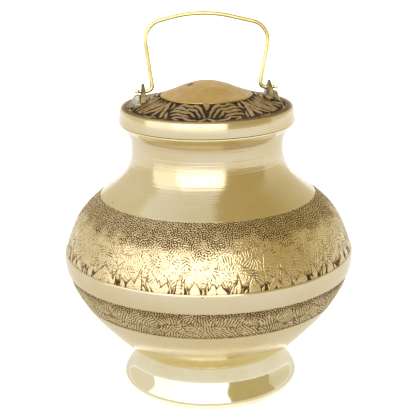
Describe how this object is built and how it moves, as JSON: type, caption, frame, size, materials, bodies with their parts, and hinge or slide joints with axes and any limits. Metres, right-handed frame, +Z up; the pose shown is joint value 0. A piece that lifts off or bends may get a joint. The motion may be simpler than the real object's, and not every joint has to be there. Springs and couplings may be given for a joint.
{
  "type": "lidded water pot",
  "caption": "Lidded brass water pot on a ring foot: engraved round body, narrow neck, domed screw lid with pointed lugs and a swinging wire bail.",
  "frame": {"origin": "centre of the ring that the pot stands on", "axes": "+Z up along the pot's axis; +X along the bail's hinge, towards the right lug; -Y towards the viewer"},
  "size_m": [0.15, 0.15, 0.1956],
  "materials": {
    "polished_brass": "satin turned, with engraved and patinated bands",
    "mirror_brass": "mirror polished",
    "antiqued_brass": "engraved relief on a blackened ground, brushed edge",
    "lug_brass": "rough cast, dark in the hollows",
    "solder": "dull wiped solder",
    "brass_wire": "bright drawn wire",
    "seal_rubber": "matt"
  },
  "bodies": {
    "pot": {"vessel_lower": "polished_brass", "vessel_upper": "polished_brass", "foot_ring": "mirror_brass", "mouth_collar": "mirror_brass"},
    "seal": {"seal_washer": "seal_rubber"},
    "lid": {"lid": "antiqued_brass", "left_lug": "lug_brass", "right_lug": "lug_brass", "left_solder": "solder", "right_solder": "solder"},
    "bail": {"bail": "brass_wire"}
  },
  "joints": [
    {"name": "lid_rise", "type": "slide", "parent": "pot", "child": "seal", "axis": [0, 0, 1], "range_m": [0, 0.00501]},
    {"name": "lid_turn", "type": "hinge", "parent": "seal", "child": "lid", "pos_m": [0, 0, 0.146], "axis": [0, 0, 1], "range_deg": [0, 600]},
    {"name": "bail_swing", "type": "hinge", "parent": "lid", "child": "bail", "pos_m": [0, 0, 0.1565], "axis": [1, 0, 0], "range_deg": [-98, 98]}
  ],
  "couplings": [
    {"joint": "lid_rise", "follows": "lid_turn", "m_per_rad": 0.00047746}
  ]
}
